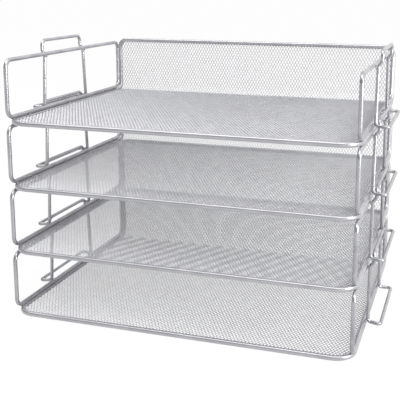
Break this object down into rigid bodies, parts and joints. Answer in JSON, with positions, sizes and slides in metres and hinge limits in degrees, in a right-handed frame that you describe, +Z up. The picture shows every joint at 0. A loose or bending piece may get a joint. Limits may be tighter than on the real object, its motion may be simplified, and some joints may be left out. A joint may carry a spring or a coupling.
{
  "type": "stackable letter tray",
  "caption": "Stackable desk letter tray of silver metal mesh, with wire side frames and stacking loops; each upper tier lifts off.",
  "frame": {"origin": "on the surface under the middle of the stack", "axes": "+X along the width to the right as seen from the open front, +Y from the open front to the back walls, +Z up"},
  "size_m": [0.3672, 0.2566, 0.2652],
  "materials": {
    "wire_coat": "satin silver paint on steel wire",
    "rim_coat": "satin silver paint on a rolled steel rim",
    "mesh_coat": "silver paint on expanded steel mesh"
  },
  "bodies": {
    "tray_1": {"tray_1_mesh_sheet": "mesh_coat", "tray_1_edge_rim": "rim_coat", "tray_1_left_side_frame": "wire_coat", "tray_1_right_side_frame": "wire_coat", "tray_1_left_stacking_loop": "wire_coat", "tray_1_right_stacking_loop": "wire_coat"},
    "tray_2": {"tray_2_mesh_sheet": "mesh_coat", "tray_2_edge_rim": "rim_coat", "tray_2_left_side_frame": "wire_coat", "tray_2_right_side_frame": "wire_coat", "tray_2_left_stacking_loop": "wire_coat", "tray_2_right_stacking_loop": "wire_coat"},
    "tray_3": {"tray_3_mesh_sheet": "mesh_coat", "tray_3_edge_rim": "rim_coat", "tray_3_left_side_frame": "wire_coat", "tray_3_right_side_frame": "wire_coat", "tray_3_left_stacking_loop": "wire_coat", "tray_3_right_stacking_loop": "wire_coat"},
    "tray_4": {"tray_4_mesh_sheet": "mesh_coat", "tray_4_edge_rim": "rim_coat", "tray_4_left_side_frame": "wire_coat", "tray_4_right_side_frame": "wire_coat", "tray_4_left_stacking_loop": "wire_coat", "tray_4_right_stacking_loop": "wire_coat"}
  },
  "joints": [
    {"name": "tray_2_lift", "type": "slide", "parent": "tray_1", "child": "tray_2", "axis": [0, 0, 1], "range_m": [0, 0.06]},
    {"name": "tray_3_lift", "type": "slide", "parent": "tray_2", "child": "tray_3", "axis": [0, 0, 1], "range_m": [0, 0.06]},
    {"name": "tray_4_lift", "type": "slide", "parent": "tray_3", "child": "tray_4", "axis": [0, 0, 1], "range_m": [0, 0.06]}
  ]
}
